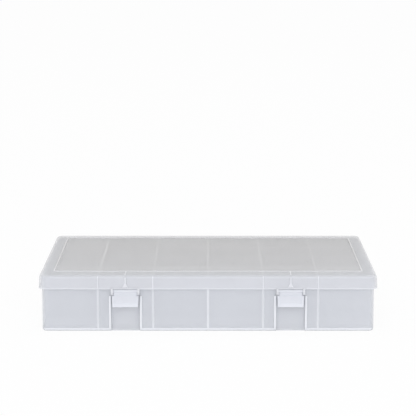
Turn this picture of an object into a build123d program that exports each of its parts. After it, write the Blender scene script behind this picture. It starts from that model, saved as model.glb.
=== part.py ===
from build123d import *
import os

# A closed compartment storage box in frosted plastic: a tray with moulded partitions and
# lift-out cross dividers, a lid with a deep skirt, and two snap latches on the front.
# Millimetres. +X is the box's right, +Y its back, +Z up, and the tray stands on z = 0.

# Compartments
columns = 6
rows = 4
cell = 43.2
wall = 1.5
floor = 1.7
corner_radius = 3.8
base_edge_radius = 2.0

# Heights
overall_height = 47.2
bead_height = 0.5
lid_thickness = 1.5
seat_gap = 0.3

# Cross dividers and their slots
divider_thickness = 1.2
divider_clearance = 0.3
divider_side_gap = 0.2
slot_rib_width = 0.8
slot_rib_depth = 1.0
slot_rib_drop = 2.0
divider_corner = 2.0

# Lid
skirt_height = 11.4
skirt_thickness = 1.5
skirt_clearance = 1.2
skirt_flare_deg = 2.5
lid_edge_radius = 2.6
bead_width = 1.2
bead_side_margin = 11.0
bead_end_margin = 15.5
bead_corner = 2.5
guide_rib_width = 1.0
guide_rib_gap = 0.4
spine_width = 1.1
spine_relief = 0.5
spine_foot_width = 4.4
spine_foot_height = 3.2
spine_foot_lift = 1.6

# Latch pockets in the tray's front wall
pocket_width = 23.3
pocket_depth = 2.6
catch_drop = 4.15
guard_width = 1.8
guard_relief = 1.0
guard_foot = 2.2

# Latches
latch_pin_drop = 1.85
latch_pin_out = 2.05
latch_barrel_radius = 1.5
trunnion_radius = 0.9
trunnion_clearance = 0.06
ear_thickness = 1.9
ear_span = 23.2
ear_radius = 3.1
ear_wall_gap = 0.4
latch_side_gap = 0.3
flap_thickness = 1.5
flap_drop = 12.6
flap_top_width = 21.9
flap_tip_width = 20.5
flap_shoulder = 3.4
neck_setback = 0.5
flap_lip = 0.9
flap_lip_height = 3.0
flap_rim_width = 1.7
flap_rim_relief = 0.4
barb_gap = 0.3
barb_height = 1.7
barb_reach = 1.2
barb_width = 16.0

# Rear hinge
hinge_drop = 2.8
hinge_out = 3.6
hinge_pin_radius = 1.25
hinge_clearance = 0.08
lug_radius = 1.8
lug_thickness = 2.6
lug_drop = 9.0
clip_width = 20.0
clip_side_gap = 0.3
clip_thickness = 1.3
clip_mouth = 1.9

# Worked out from the sizes above
inner_width = columns * cell + (columns - 1) * wall
inner_depth = rows * cell + (rows - 1) * wall
body_width = inner_width + 2 * wall
body_depth = inner_depth + 2 * wall
pitch = cell + wall
plate_top = overall_height - bead_height
plate_bottom = plate_top - lid_thickness
rim = plate_bottom - seat_gap
skirt_bottom = plate_top - skirt_height
skirt_reach = skirt_clearance + skirt_thickness
latch_pin_height = skirt_bottom - latch_pin_drop
pocket_top = latch_pin_height - catch_drop
hinge_height = skirt_bottom - hinge_drop
latch_x = [-1.5 * pitch, 1.5 * pitch]
overlap = 0.4

# The whole box is centred front to back between the latch lips and the hinge clips
clip_radius = hinge_pin_radius + hinge_clearance + clip_thickness
front_reach = latch_pin_out + latch_barrel_radius + flap_rim_relief + flap_lip
back_reach = hinge_out + clip_radius
centre_y = (front_reach - back_reach) / 2
front_face = centre_y - body_depth / 2
back_face = centre_y + body_depth / 2
latch_y = front_face - latch_pin_out
hinge_y = back_face + hinge_out


def slab(width, depth, radius, low, high, taper=0.0):
    """A rounded rectangle, centred on the box, extruded from low to high."""
    outline = Pos(0, centre_y, low) * RectangleRounded(width, depth, radius)
    return extrude(outline, high - low, taper=taper)


def block(x_low, x_high, y_low, y_high, z_low, z_high):
    """A plain block between two corners."""
    size = Box(x_high - x_low, y_high - y_low, z_high - z_low)
    return Pos((x_low + x_high) / 2, (y_low + y_high) / 2, (z_low + z_high) / 2) * size


def side_profile(points, x_low, x_high):
    """A closed outline of (y, z) points, extruded across the box from x_low to x_high."""
    wire = Wire.make_polygon([Vector(x_low, y, z) for y, z in points], close=True)
    return extrude(Face(wire), x_high - x_low, dir=(1, 0, 0))


def rod(radius, x_low, x_high, y, z):
    """A round bar that runs across the box."""
    turned = Rot(0, 90, 0) * Cylinder(radius, x_high - x_low)
    return Pos((x_low + x_high) / 2, y, z) * turned


def row_lines():
    """The y of each line of cross dividers."""
    first = front_face + wall + cell + wall / 2
    return [first + n * pitch for n in range(rows - 1)]


def column_centres():
    """The x of the middle of each column of compartments."""
    return [(n - (columns - 1) / 2) * pitch for n in range(columns)]


def tray_shell():
    """The floor and the four outer walls, with every outer edge rounded."""
    shell = slab(body_width, body_depth, corner_radius, 0, rim)
    shell = fillet(shell.edges().group_by(Axis.Z)[0], base_edge_radius)
    cavity = slab(inner_width, inner_depth, corner_radius - wall, floor, rim + overlap)
    return shell - cavity


def partitions():
    """The five fixed walls that run front to back."""
    edges = [(n - columns / 2) * pitch for n in range(1, columns)]
    return [
        block(
            x - wall / 2, x + wall / 2,
            front_face + wall - overlap, back_face - wall + overlap,
            floor - overlap, rim - divider_clearance,
        )
        for x in edges
    ]


def slot_ribs():
    """Pairs of ribs on both sides of every column, which hold the cross dividers upright."""
    half_gap = divider_thickness / 2 + divider_side_gap
    ribs = []
    for x in column_centres():
        for side in (-1, 1):
            face = x + side * cell / 2
            x_low = min(face - side * slot_rib_depth, face + side * overlap)
            x_high = max(face - side * slot_rib_depth, face + side * overlap)
            for y in row_lines():
                for lead in (-half_gap - slot_rib_width, half_gap):
                    ribs.append(block(
                        x_low, x_high, y + lead, y + lead + slot_rib_width,
                        floor - overlap, rim - slot_rib_drop,
                    ))
    return ribs


def pocket_backs():
    """The inward step of the front wall behind each latch."""
    return [
        block(
            x - pocket_width / 2 - wall, x + pocket_width / 2 + wall,
            front_face + wall - overlap, front_face + pocket_depth + wall,
            floor - overlap, pocket_top + wall,
        )
        for x in latch_x
    ]


def pocket_spaces():
    """The room in front of each step, open at its foot."""
    return [
        block(
            x - pocket_width / 2, x + pocket_width / 2,
            front_face - wall, front_face + pocket_depth,
            -overlap, pocket_top,
        )
        for x in latch_x
    ]


def guards():
    """A proud rib down each side of a pocket."""
    ribs = []
    for x in latch_x:
        for side in (-1, 1):
            middle = x + side * (pocket_width + guard_width) / 2
            rib = block(
                middle - guard_width / 2, middle + guard_width / 2,
                front_face - guard_relief, front_face + overlap,
                guard_foot, pocket_top,
            )
            front_edges = rib.edges().group_by(Axis.Y)[0].filter_by(Axis.Z)
            ribs.append(fillet(front_edges, guard_relief * 0.45))
    return ribs


def hinge_lugs():
    """Two lugs and a moulded pin at each of the two hinge stations."""
    parts = []
    half_gap = clip_width / 2 + clip_side_gap
    outline = [
        (back_face - overlap, hinge_height + lug_radius),
        (hinge_y, hinge_height + lug_radius),
        (hinge_y, hinge_height - lug_radius),
        (back_face, hinge_height - lug_drop),
        (back_face - overlap, hinge_height - lug_drop),
    ]
    for x in latch_x:
        for side in (-1, 1):
            near = x + side * half_gap
            far = near + side * lug_thickness
            low, high = min(near, far), max(near, far)
            parts.append(side_profile(outline, low, high))
            parts.append(rod(lug_radius, low, high, hinge_y, hinge_height))
        reach = half_gap + overlap
        parts.append(rod(hinge_pin_radius, x - reach, x + reach, hinge_y, hinge_height))
    return parts


def tray():
    """The whole moulded tray."""
    body = tray_shell()
    body = body.fuse(*partitions(), *slot_ribs(), *pocket_backs())
    body = body - pocket_spaces()
    return body.fuse(*guards(), *hinge_lugs())


def cross_divider(x, y):
    """A lift-out plate between two partitions, held by the slot ribs."""
    half = cell / 2 - divider_clearance
    low, high = floor + seat_gap, rim - divider_clearance
    plate = block(x - half, x + half, y - divider_thickness / 2, y + divider_thickness / 2, low, high)
    foot_corners = plate.edges().filter_by(Axis.Y).group_by(Axis.Z)[0]
    return chamfer(foot_corners, divider_corner)


def lid_outside():
    """The lid's plate and flared skirt, still a solid block."""
    width, depth = body_width + 2 * skirt_reach, body_depth + 2 * skirt_reach
    radius = corner_radius + skirt_reach
    outer = slab(width, depth, radius, skirt_bottom, plate_top, skirt_flare_deg)
    return fillet(outer.edges().group_by(Axis.Z)[-1], lid_edge_radius)


def lid_cavity():
    """The space inside the skirt, under the plate."""
    width, depth = body_width + 2 * skirt_clearance, body_depth + 2 * skirt_clearance
    radius = corner_radius + skirt_clearance
    return slab(width, depth, radius, skirt_bottom, plate_bottom, skirt_flare_deg)


def stacking_bead():
    """The low raised frame on top of the lid."""
    width = body_width + 2 * skirt_reach - 2 * bead_side_margin
    depth = body_depth + 2 * skirt_reach - 2 * bead_end_margin
    low, high = plate_top - overlap, plate_top + bead_height
    outer = slab(width, depth, bead_corner + bead_width, low, high)
    outer = fillet(outer.edges().group_by(Axis.Z)[-1], bead_height * 0.6)
    inner = slab(width - 2 * bead_width, depth - 2 * bead_width, bead_corner, low, high)
    return outer - inner


def guide_ribs():
    """Short ribs inside the front skirt, in line with the partitions beside each latch."""
    ribs = []
    for x in [n * pitch for n in (-2, -1, 1, 2)]:
        ribs.append(block(
            x - guide_rib_width / 2, x + guide_rib_width / 2,
            front_face - skirt_clearance - overlap, front_face - guide_rib_gap,
            skirt_bottom + 1.0, plate_bottom + overlap,
        ))
    return ribs


def latch_spine(x):
    """The thin rib over a latch: across the lid's front margin, down the skirt, to a flared foot."""
    half, foot = spine_width / 2, spine_foot_width / 2
    foot_low = skirt_bottom + spine_foot_lift
    foot_high = foot_low + spine_foot_height
    front = front_face - skirt_reach - spine_relief
    bead_y = front_face - skirt_reach + bead_end_margin + bead_width / 2
    over = block(x - half, x + half, front, bead_y, foot_low, plate_top + spine_relief)
    corner = over.edges().filter_by(Axis.X).group_by(Axis.Z)[-1].group_by(Axis.Y)[0]
    over = fillet(corner, lid_edge_radius + spine_relief)
    outline = [
        Vector(x - half, front, foot_high), Vector(x - foot, front, foot_low),
        Vector(x + foot, front, foot_low), Vector(x + half, front, foot_high),
    ]
    flare = extrude(Face(Wire.make_polygon(outline, close=True)), skirt_reach, dir=(0, 1, 0))
    return over.fuse(flare)


def ears(x):
    """The two ears under the skirt that a latch turns in."""
    parts = []
    inner_limit = front_face - ear_wall_gap
    for side in (-1, 1):
        far = x + side * ear_span / 2
        near = far - side * ear_thickness
        low, high = min(near, far), max(near, far)
        ear = rod(ear_radius, low, high, latch_y, latch_pin_height)
        neck = block(
            low, high, latch_y - skirt_thickness / 2 - 0.6, latch_y + skirt_thickness / 2,
            latch_pin_height, skirt_bottom + overlap,
        )
        beyond = block(
            low - overlap, high + overlap, inner_limit, inner_limit + ear_radius,
            latch_pin_height - 2 * ear_radius, skirt_bottom + ear_radius,
        )
        hole = rod(trunnion_radius + trunnion_clearance, low - 1, high + 1, latch_y, latch_pin_height)
        above = block(
            low - overlap, high + overlap, latch_y - ear_radius - 1, latch_y + ear_radius + 1,
            skirt_bottom + overlap, skirt_bottom + ear_radius,
        )
        parts.append(ear.fuse(neck) - beyond - hole - above)
    return parts


def hinge_clip(x):
    """A C-shaped clip under the back skirt, which snaps over a hinge pin from above."""
    low, high = x - clip_width / 2, x + clip_width / 2
    bore = hinge_pin_radius + hinge_clearance
    ring = rod(clip_radius, low, high, hinge_y, hinge_height)
    skirt_back = back_face + skirt_reach
    arm = side_profile(
        [
            (back_face + skirt_clearance, skirt_bottom + overlap),
            (back_face + skirt_clearance, hinge_height + hinge_pin_radius),
            (hinge_y, hinge_height),
            (hinge_y + clip_radius, hinge_height),
            (skirt_back, skirt_bottom + 2 * clip_thickness),
            (skirt_back - overlap, skirt_bottom + 2 * clip_thickness),
        ],
        low, high,
    )
    mouth = block(
        low - 1, high + 1, hinge_y - clip_mouth / 2, hinge_y + clip_mouth / 2,
        hinge_height - clip_radius - 1, hinge_height,
    )
    return ring.fuse(arm) - rod(bore, low - 1, high + 1, hinge_y, hinge_height) - mouth


def lid():
    """The whole lid moulding, with its ears and hinge clips."""
    outside = lid_outside().fuse(stacking_bead(), *[latch_spine(x) for x in latch_x])
    fittings = [part for x in latch_x for part in (*ears(x), hinge_clip(x))]
    return (outside - lid_cavity()).fuse(*guide_ribs(), *fittings)


def flap_side(z_low, z_high, half_top, half_tip, x):
    """The taper of a flap seen from the front, as a solid deep enough to cut with."""
    deep = 4 * latch_barrel_radius
    outline = [
        Vector(x - half_top, latch_y - deep, z_high), Vector(x - half_tip, latch_y - deep, z_low),
        Vector(x + half_tip, latch_y - deep, z_low), Vector(x + half_top, latch_y - deep, z_high),
    ]
    return extrude(Face(Wire.make_polygon(outline, close=True)), 2 * deep, dir=(0, 1, 0))


def latch(x):
    """A snap latch: barrel and trunnions, a tapered flap with raised edges, a barb and a finger lip."""
    ear_gap = ear_span / 2 - ear_thickness - latch_side_gap
    shoulder = latch_pin_height - flap_shoulder
    tip = latch_pin_height - flap_drop
    outer = latch_y - latch_barrel_radius
    inner = outer + flap_thickness
    half_top, half_tip = flap_top_width / 2, flap_tip_width / 2

    barrel = rod(latch_barrel_radius, x - ear_gap, x + ear_gap, latch_y, latch_pin_height)
    reach = ear_span / 2
    trunnions = rod(trunnion_radius, x - reach, x + reach, latch_y, latch_pin_height)
    neck = block(
        x - ear_gap, x + ear_gap, outer + neck_setback, inner,
        shoulder - overlap, latch_pin_height,
    )
    side = [
        (outer, shoulder), (inner, shoulder),
        (inner, tip + flap_lip_height), (inner - flap_lip, tip),
        (outer - flap_lip, tip), (outer, tip + flap_lip_height),
    ]
    plate = side_profile(side, x - half_top, x + half_top)
    plate = plate & flap_side(tip - 1, shoulder + 1, half_top, half_tip, x)

    raised = side_profile(
        [
            (outer - flap_rim_relief, shoulder - 0.5), (outer + overlap, shoulder - 0.5),
            (outer + overlap, tip + flap_lip_height), (outer - flap_lip + overlap, tip),
            (outer - flap_lip - flap_rim_relief, tip),
            (outer - flap_rim_relief, tip + flap_lip_height),
        ],
        x - half_top, x + half_top,
    )
    raised = raised & flap_side(tip - 1, shoulder + 1, half_top, half_tip, x)
    raised = raised - flap_side(
        tip - 1, shoulder + 1, half_top - flap_rim_width, half_tip - flap_rim_width, x,
    )

    barb_top = pocket_top - barb_gap
    barb_tip = front_face + barb_reach
    barb = side_profile(
        [
            (inner - overlap, barb_top), (barb_tip, barb_top),
            (barb_tip, barb_top - barb_height * 0.4), (inner - overlap, barb_top - barb_height * 1.6),
        ],
        x - barb_width / 2, x + barb_width / 2,
    )
    return barrel.fuse(trunnions, neck, plate, *raised.solids(), barb)


def save(shape, name):
    """Writes one node, and prints what it is made of."""
    shape = Compound(children=list(shape.solids())) if len(shape.solids()) > 1 else shape.solids()[0]
    export_step(shape, f"parts/{name}.step")
    print(name, len(shape.solids()), "solids", round(shape.volume), "mm3")


os.makedirs("parts", exist_ok=True)
save(tray(), "base_tray")
save(lid(), "lid")
for side_name, latch_centre in zip(("left", "right"), latch_x):
    save(latch(latch_centre), f"latch_{side_name}")
for row, line_y in enumerate(row_lines(), start=1):
    for column, column_x in enumerate(column_centres(), start=1):
        save(cross_divider(column_x, line_y), f"divider_row{row}_column{column}")
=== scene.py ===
import math

import bpy
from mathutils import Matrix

# The looks of a closed compartment storage box in frosted natural polypropylene.
# Metres. +X is the box's right, +Y its back, +Z up, and the front faces the camera.
# A mask is a number from 0 to 1 that a material works out from a point's place on the box.

MM = 0.001

# Sizes and places of the solids, which the masks follow
columns = 6
rows = 4
pitch = 44.7 * MM
wall = 1.5 * MM
body_width = columns * pitch + wall
body_depth = rows * pitch + wall
centre_y = -0.69 * MM
front_face = centre_y - body_depth / 2
skirt_reach = 2.7 * MM
lid_width = body_width + 2 * skirt_reach
lid_depth = body_depth + 2 * skirt_reach
frame_side_margin = 11.0 * MM
frame_end_margin = 15.5 * MM
skirt_bottom = 35.3 * MM
plate_top = 46.7 * MM
tray_rim = 44.9 * MM
tray_floor = 1.7 * MM
pocket_depth = 2.6 * MM
guide_rib_width = 1.0 * MM
guide_ribs_each_side = 2
slot_rib_offset = 1.2 * MM
slot_rib_width = 0.8 * MM
latch_face = front_face - 3.55 * MM

# How far a marked place reaches, or how far it stands off the face that it starts from
pocket_back_reach = 0.3 * MM
guard_stand = 0.4 * MM
floor_edge_reach = 0.9 * MM
top_edge_reach = 0.5 * MM
frame_stand = 0.2 * MM
ear_stand = 0.35 * MM
lower_edge_reach = 0.7 * MM
skirt_front_reach = 1.0 * MM
flap_edge_stand = 0.2 * MM
divider_top_reach = 1.0 * MM

# Half the width of the soft step at the edge of a marked place
crisp = 0.1 * MM
fine = 0.2 * MM
soft = 0.25 * MM
raised_blur = 0.15 * MM
edge_blur = 0.4 * MM
partition_blur = 0.6 * MM
plate_blur = 1.5 * MM

# How much whiter a marked place is, as a share of the way to the thick colour
partition_share = 0.2
side_rib_share = 0.2
guard_share = 0.36
floor_edge_share = 0.3
top_edge_share = 0.6
raised_share = 0.15
ear_share = 0.18
lower_edge_share = 0.18
guide_rib_share = 0.15
flap_edge_share = 0.03
divider_top_share = 0.5

# The same for places where the solid has no thicker plastic: painted light at the backs of the latch
# pockets, painted light on the lid outside its frame, and a painted highlight along the raised
# frame. They only match the photograph.
painted_pocket_light_share = 0.06
painted_rim_light_share = 0.05
frame_highlight_share = 0.25

# Plastic colours, linear
tray_colour = (0.83, 0.85, 0.885)
lid_colour = (0.88, 0.892, 0.925)
latch_colour = (0.865, 0.882, 0.925)
divider_colour = (0.86, 0.865, 0.88)
# The whiter colour of thicker plastic, also the colour of the painted light and highlight on the
# tray and lid
thick_and_lit_colour = (0.985, 0.985, 0.985)

# Tones of the same mouldings that only match the photograph: painted shade on the compartment faces,
# painted light on the lid's plate, and painted shade towards the lid's back
compartment_shade_colour = (0.84, 0.845, 0.86)
plate_light_colour = (0.955, 0.955, 0.965)
back_shade_colour = (0.72, 0.69, 0.66)
back_shade_share = 0.3

# How opaque each piece's plastic is. Where its mask is full_thickness or more, it is thick_alpha.
tray_alpha = 0.6
lid_alpha = 0.4
latch_alpha = 0.8
divider_alpha = 0.85
thick_alpha = 0.97
full_thickness = 0.3

# Surface of the plastic. Noise scales are in cycles per metre.
plastic_ior = 1.49
moulded_roughness = 0.42
latch_roughness = 0.36
grain_scale = 2600.0
grain_detail = 2.0
grain_roughness = 0.06
grain_bump = 0.06
grain_height = 0.05 * MM
cloud_scale = 22.0
cloud_detail = 3.0
cloud_darker = 0.975
cloud_lighter = 1.02

# Camera, solved from the photograph
camera_y = -1535.7 * MM
camera_z = 336.5 * MM
camera_pitch_deg = 9.236
camera_lens = 157.34
sensor_width = 36.0
nearest_seen = 0.01
farthest_seen = 20.0

# Studio. The gap keeps its floor off the plane of the box's underside.
studio_size = 30.0
studio_gap = 0.05 * MM
studio_colour = (0.97, 0.97, 0.975, 1.0)
shadow_share = 0.07
surround_light = 0.96
front_light_power = 13.0
front_light_size = 1.6
front_light_place = (0.0, -2.2, 0.7)
front_light_colour = (0.87, 0.89, 1.0)
top_light_power = 7.0
top_light_size = 2.0
top_light_place = (0.0, 0.0, 2.5)
top_light_colour = (1.0, 1.0, 1.0)


def new_material(name):
    """An empty node material and its node tree."""
    material = bpy.data.materials.new(name)
    material.use_nodes = True
    material.node_tree.nodes.clear()
    return material, material.node_tree


def place(tree):
    """The x, y and z of a point on the box, in metres."""
    coordinates = tree.nodes.new("ShaderNodeTexCoord")
    split = tree.nodes.new("ShaderNodeSeparateXYZ")
    tree.links.new(coordinates.outputs["Object"], split.inputs["Vector"])
    return split.outputs["X"], split.outputs["Y"], split.outputs["Z"]


def calculate(tree, operation, *values):
    """A math node on sockets and plain numbers."""
    node = tree.nodes.new("ShaderNodeMath")
    node.operation = operation
    for socket, value in zip(node.inputs, values):
        if isinstance(value, (int, float)):
            socket.default_value = value
        else:
            tree.links.new(value, socket)
    return node.outputs["Value"]


def above(tree, value, edge, blur):
    """1 where value is over edge, 0 under it, with a soft step between."""
    node = tree.nodes.new("ShaderNodeMapRange")
    node.interpolation_type = "SMOOTHSTEP"
    node.inputs["From Min"].default_value = edge - blur
    node.inputs["From Max"].default_value = edge + blur
    tree.links.new(value, node.inputs["Value"])
    return node.outputs["Result"]


def opposite(tree, mask):
    """1 where the mask is 0, and 0 where it is 1."""
    return calculate(tree, "SUBTRACT", 1.0, mask)


def below(tree, value, edge, blur):
    """1 where value is under edge, 0 over it, with a soft step between."""
    return opposite(tree, above(tree, value, edge, blur))


def distance_to(tree, value, middle):
    """How far value is from middle."""
    return calculate(tree, "ABSOLUTE", calculate(tree, "SUBTRACT", value, middle))


def distance_to_lines(tree, value, middle, spacing):
    """How far value is from the nearest of many lines, one spacing apart."""
    shifted = calculate(tree, "SUBTRACT", value, middle)
    return calculate(tree, "PINGPONG", shifted, spacing / 2)


def all_of(tree, *masks):
    """1 where every mask is 1."""
    result = masks[0]
    for mask in masks[1:]:
        result = calculate(tree, "MULTIPLY", result, mask)
    return result


def any_of(tree, *masks):
    """1 where any mask is 1."""
    result = masks[0]
    for mask in masks[1:]:
        result = calculate(tree, "MAXIMUM", result, mask)
    return result


def share(tree, mask, amount):
    """A mask that reaches only a share of 1."""
    return calculate(tree, "MULTIPLY", mask, amount)


def thick_and_lit_tray(tree):
    """Where the tray is whiter: edges, guards and ribs that back a wall, where its plastic is
    thicker, and painted light at the pocket backs.
    """
    x, y, z = place(tree)
    partition = below(tree, distance_to_lines(tree, x, 0.0, pitch), wall / 2, partition_blur)
    from_pocket_back = distance_to(tree, y, front_face + pocket_depth)
    # Painted light: the back of each latch pocket a little lighter, lifting the shade in the pocket
    painted_pocket_light = below(tree, from_pocket_back, pocket_back_reach, crisp)
    end_wall = above(tree, distance_to(tree, y, centre_y), body_depth / 2 - wall / 2, soft)
    from_rib = distance_to(tree, distance_to_lines(tree, y, centre_y, pitch), slot_rib_offset)
    side_rib = below(tree, from_rib, slot_rib_width / 2, soft)
    side_wall = above(tree, distance_to(tree, x, 0.0), body_width / 2 - wall / 2, soft)
    guard = below(tree, y, front_face - guard_stand, fine)
    floor_edge = below(tree, distance_to(tree, z, tray_floor), floor_edge_reach, edge_blur)
    outside = any_of(tree, end_wall, side_wall)
    top_edge = above(tree, z, tray_rim - top_edge_reach, crisp)
    return any_of(
        tree,
        share(tree, all_of(tree, partition, end_wall), partition_share),
        share(tree, painted_pocket_light, painted_pocket_light_share),
        share(tree, all_of(tree, side_rib, side_wall), side_rib_share),
        share(tree, guard, guard_share),
        share(tree, all_of(tree, floor_edge, outside), floor_edge_share),
        share(tree, top_edge, top_edge_share),
    )


def inside_tray(tree):
    """1 on the faces of the compartments, 0 on the outside of the tray."""
    x, y, z = place(tree)
    between_sides = below(tree, distance_to(tree, x, 0.0), body_width / 2 - wall / 2, crisp)
    behind_front = above(tree, y, front_face + pocket_depth + wall / 2, crisp)
    before_back = below(tree, y, centre_y + body_depth / 2 - wall / 2, crisp)
    over_floor = above(tree, z, tray_floor / 2, crisp)
    return all_of(tree, between_sides, behind_front, before_back, over_floor)


def within_frame(tree):
    """1 on the lid's plate inside its raised frame, 0 on the rim around it and on the skirt."""
    x, y, _ = place(tree)
    half_width = lid_width / 2 - frame_side_margin
    half_depth = lid_depth / 2 - frame_end_margin
    between_sides = below(tree, distance_to(tree, x, 0.0), half_width, plate_blur)
    between_ends = below(tree, distance_to(tree, y, centre_y), half_depth, plate_blur)
    return all_of(tree, between_sides, between_ends)


def shade_toward_back(tree):
    """Painted shade on the lid: 0 at its front edge, growing to the share of the back's shade colour
    at its back edge.
    """
    _, y, _ = place(tree)
    node = tree.nodes.new("ShaderNodeMapRange")
    node.inputs["From Min"].default_value = centre_y - lid_depth / 2
    node.inputs["From Max"].default_value = centre_y + lid_depth / 2
    node.inputs["To Max"].default_value = back_shade_share
    tree.links.new(y, node.inputs["Value"])
    return node.outputs["Result"]


def thick_and_lit_lid(tree):
    """Where the lid is whiter: raised frame, ears, guide ribs and lower edge, where its plastic is
    thicker; a little painted light outside the frame, and a painted highlight along the frame.
    """
    x, y, z = place(tree)
    from_middle = distance_to(tree, x, 0.0)
    raised = above(tree, z, plate_top + frame_stand, raised_blur)
    ear = below(tree, y, front_face - skirt_reach - ear_stand, crisp)
    lower_edge = below(tree, z, skirt_bottom + lower_edge_reach, edge_blur)
    inside_frame = within_frame(tree)
    outside_frame = opposite(tree, inside_frame)
    # Painted highlight: a light band along the line of the raised frame
    painted_frame_highlight = all_of(tree, inside_frame, outside_frame)
    on_line = below(tree, distance_to_lines(tree, x, 0.0, pitch), guide_rib_width / 2, fine)
    off_centre = above(tree, from_middle, pitch / 2, fine)
    off_side = below(tree, from_middle, (guide_ribs_each_side + 0.5) * pitch, fine)
    skirt_front = below(tree, y, front_face - skirt_reach + skirt_front_reach, fine)
    guide_rib = all_of(tree, on_line, off_centre, skirt_front, off_side)
    return any_of(
        tree,
        # Painted light: the lid outside its frame, rim and skirt, a little lighter
        share(tree, outside_frame, painted_rim_light_share),
        share(tree, painted_frame_highlight, frame_highlight_share),
        share(tree, raised, raised_share),
        share(tree, ear, ear_share),
        share(tree, lower_edge, lower_edge_share),
        share(tree, guide_rib, guide_rib_share),
    )


def thick_latch(tree):
    """Where a latch is whiter: its raised edges and finger lip."""
    _, y, _ = place(tree)
    return share(tree, below(tree, y, latch_face - flap_edge_stand, crisp), flap_edge_share)


def thick_divider(tree):
    """Where a cross divider is whiter: its top edge."""
    _, _, z = place(tree)
    return share(tree, above(tree, z, tray_rim - divider_top_reach, crisp), divider_top_share)


def noise(tree, scale, detail):
    """A noise texture that is fixed to the piece."""
    coordinates = tree.nodes.new("ShaderNodeTexCoord")
    texture = tree.nodes.new("ShaderNodeTexNoise")
    texture.inputs["Scale"].default_value = scale
    texture.inputs["Detail"].default_value = detail
    tree.links.new(coordinates.outputs["Object"], texture.inputs["Vector"])
    return texture.outputs["Fac"]


def blend_colours(tree, factor, low, high):
    """A colour between low and high, each a socket or an RGB triple."""
    node = tree.nodes.new("ShaderNodeMix")
    node.data_type = "RGBA"
    tree.links.new(factor, node.inputs["Factor"])
    for name, value in (("A", low), ("B", high)):
        socket = [s for s in node.inputs if s.name == name and s.type == "RGBA"][0]
        if isinstance(value, tuple):
            socket.default_value = (*value, 1.0)
        else:
            tree.links.new(value, socket)
    return [s for s in node.outputs if s.type == "RGBA"][0]


def clouded(tree, colour):
    """The colour with faint flow clouds, a little darker and lighter than itself."""
    darker = tuple(part * cloud_darker for part in colour)
    lighter = tuple(min(1.0, part * cloud_lighter) for part in colour)
    return blend_colours(tree, noise(tree, cloud_scale, cloud_detail), darker, lighter)


def opacity(tree, thick_and_lit, alpha):
    """The piece's own alpha, growing to the thick one where the plastic is thick."""
    node = tree.nodes.new("ShaderNodeMapRange")
    node.inputs["From Max"].default_value = full_thickness
    node.inputs["To Min"].default_value = alpha
    node.inputs["To Max"].default_value = thick_alpha
    tree.links.new(thick_and_lit, node.inputs["Value"])
    return node.outputs["Result"]


def add_grain(tree, shader, roughness):
    """A fine matt grain in the shader's roughness and normal."""
    grain = noise(tree, grain_scale, grain_detail)
    rough = tree.nodes.new("ShaderNodeMapRange")
    rough.inputs["To Min"].default_value = roughness - grain_roughness
    rough.inputs["To Max"].default_value = roughness + grain_roughness
    tree.links.new(grain, rough.inputs["Value"])
    tree.links.new(rough.outputs["Result"], shader.inputs["Roughness"])
    bump = tree.nodes.new("ShaderNodeBump")
    bump.inputs["Strength"].default_value = grain_bump
    bump.inputs["Distance"].default_value = grain_height
    tree.links.new(grain, bump.inputs["Height"])
    tree.links.new(bump.outputs["Normal"], shader.inputs["Normal"])


def frosted_plastic(name, colour, alpha, roughness, thick_and_lit_places, painted_tones=()):
    """Frosted polypropylene, part see-through. Each painted tone is a mask and the colour of the
    painted light or shade that it brings.
    """
    material, tree = new_material(name)
    output = tree.nodes.new("ShaderNodeOutputMaterial")
    shader = tree.nodes.new("ShaderNodeBsdfPrincipled")
    shader.inputs["IOR"].default_value = plastic_ior
    base = clouded(tree, colour)
    for painted_places, painted_tone in painted_tones:
        base = blend_colours(tree, painted_places(tree), base, painted_tone)
    # Thicker plastic, together with painted light and highlights on the tray and lid
    thick_and_lit = thick_and_lit_places(tree)
    tree.links.new(blend_colours(tree, thick_and_lit, base, thick_and_lit_colour), shader.inputs["Base Color"])
    tree.links.new(opacity(tree, thick_and_lit, alpha), shader.inputs["Alpha"])
    add_grain(tree, shader, roughness)
    tree.links.new(shader.outputs["BSDF"], output.inputs["Surface"])
    return material


def tray_plastic():
    """The tray's plastic, with a painted shade tone on the faces of its compartments."""
    # Painted shade on the faces of the compartments
    painted_tones = ((inside_tray, compartment_shade_colour),)
    return frosted_plastic(
        "tray_plastic", tray_colour, tray_alpha, moulded_roughness, thick_and_lit_tray, painted_tones
    )


def lid_plastic():
    """The lid's plastic, with painted light on its plate and painted shade towards its back."""
    # Painted light on the plate inside the frame, and painted shade growing towards the back
    painted_tones = ((within_frame, plate_light_colour), (shade_toward_back, back_shade_colour))
    return frosted_plastic("lid_plastic", lid_colour, lid_alpha, moulded_roughness, thick_and_lit_lid, painted_tones)


def latch_plastic():
    """The latches' plastic, smoother and less clear than the tray's."""
    return frosted_plastic("latch_plastic", latch_colour, latch_alpha, latch_roughness, thick_latch)


def divider_plastic():
    """The cross dividers' plastic."""
    return frosted_plastic(
        "divider_plastic", divider_colour, divider_alpha, moulded_roughness, thick_divider
    )


def dress(node, material):
    """Puts a material on every slot of a carried-over node."""
    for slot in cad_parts[node].material_slots:
        slot.material = material


def seen_directly(tree):
    """1 for what the camera sees straight, in a reflection or through clear plastic."""
    path = tree.nodes.new("ShaderNodeLightPath")
    rays = [path.outputs[f"Is {kind} Ray"] for kind in ("Camera", "Glossy", "Transmission")]
    return any_of(tree, *rays)


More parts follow.
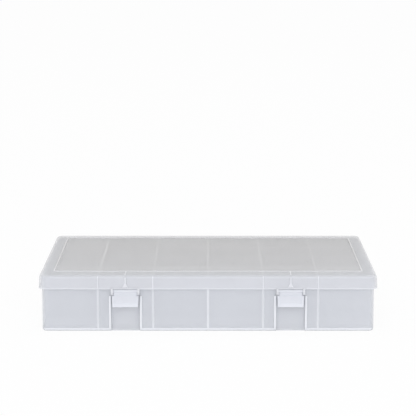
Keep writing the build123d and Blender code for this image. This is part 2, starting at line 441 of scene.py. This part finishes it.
def studio_floor():
    """A plain white floor that keeps a soft shadow under the box."""
    mesh = bpy.data.meshes.new("studio_floor")
    half = studio_size / 2
    corners = [(-half, -half, 0), (half, -half, 0), (half, half, 0), (-half, half, 0)]
    mesh.from_pydata(corners, [], [(0, 1, 2, 3)])
    floor = bpy.data.objects.new("studio_floor", mesh)
    floor.location = (0.0, 0.0, -studio_gap)
    bpy.context.scene.collection.objects.link(floor)
    material, tree = new_material("studio_floor")
    output = tree.nodes.new("ShaderNodeOutputMaterial")
    matt = tree.nodes.new("ShaderNodeBsdfDiffuse")
    matt.inputs["Color"].default_value = studio_colour
    white = tree.nodes.new("ShaderNodeEmission")
    white.inputs["Strength"].default_value = 1.0
    mix = tree.nodes.new("ShaderNodeMixShader")
    whiteness = share(tree, seen_directly(tree), 1.0 - shadow_share)
    tree.links.new(whiteness, mix.inputs[0])
    tree.links.new(matt.outputs["BSDF"], mix.inputs[1])
    tree.links.new(white.outputs["Emission"], mix.inputs[2])
    tree.links.new(mix.outputs["Shader"], output.inputs["Surface"])
    mesh.materials.append(material)


def studio_world():
    """An even surround, white where it is seen."""
    world = bpy.data.worlds.new("studio")
    bpy.context.scene.world = world
    world.use_nodes = True
    tree = world.node_tree
    tree.nodes.clear()
    output = tree.nodes.new("ShaderNodeOutputWorld")
    background = tree.nodes.new("ShaderNodeBackground")
    strength = tree.nodes.new("ShaderNodeMapRange")
    strength.inputs["To Min"].default_value = surround_light
    strength.inputs["To Max"].default_value = 1.0
    tree.links.new(seen_directly(tree), strength.inputs["Value"])
    tree.links.new(strength.outputs["Result"], background.inputs["Strength"])
    tree.links.new(background.outputs["Background"], output.inputs["Surface"])


def soft_light(name, power, size, location, colour):
    """A large square light on the box's middle plane, aimed at the origin."""
    data = bpy.data.lights.new(name, "AREA")
    data.shape = "SQUARE"
    data.size = size
    data.energy = power
    data.color = colour
    light = bpy.data.objects.new(name, data)
    light.location = location
    light.rotation_euler = (math.atan2(-location[1], location[2]), 0.0, 0.0)
    bpy.context.scene.collection.objects.link(light)


def studio_camera():
    """The camera at the photograph's place and angle."""
    data = bpy.data.cameras.new("camera")
    data.lens = camera_lens
    data.sensor_width = sensor_width
    data.sensor_fit = "HORIZONTAL"
    data.clip_start = nearest_seen
    data.clip_end = farthest_seen
    camera = bpy.data.objects.new("camera", data)
    camera.location = (0.0, camera_y, camera_z)
    camera.rotation_euler = (math.radians(90.0 - camera_pitch_deg), 0.0, 0.0)
    bpy.context.scene.collection.objects.link(camera)
    bpy.context.scene.camera = camera


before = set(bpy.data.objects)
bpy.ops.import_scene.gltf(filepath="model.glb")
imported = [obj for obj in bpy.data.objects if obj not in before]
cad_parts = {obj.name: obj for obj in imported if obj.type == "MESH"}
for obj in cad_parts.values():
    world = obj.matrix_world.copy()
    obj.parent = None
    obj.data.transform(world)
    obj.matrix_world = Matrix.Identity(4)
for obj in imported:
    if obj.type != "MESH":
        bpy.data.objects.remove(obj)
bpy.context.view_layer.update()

tray_material = tray_plastic()
lid_material = lid_plastic()
latch_material = latch_plastic()
divider_material = divider_plastic()

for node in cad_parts:
    if node == "base_tray":
        dress(node, tray_material)
    elif node == "lid":
        dress(node, lid_material)
    elif node.startswith("latch"):
        dress(node, latch_material)
    else:
        dress(node, divider_material)

studio_floor()
studio_world()
soft_light(
    "front_light", front_light_power, front_light_size, front_light_place, front_light_colour
)
soft_light("top_light", top_light_power, top_light_size, top_light_place, top_light_colour)
studio_camera()
bpy.context.scene.view_settings.view_transform = "Standard"
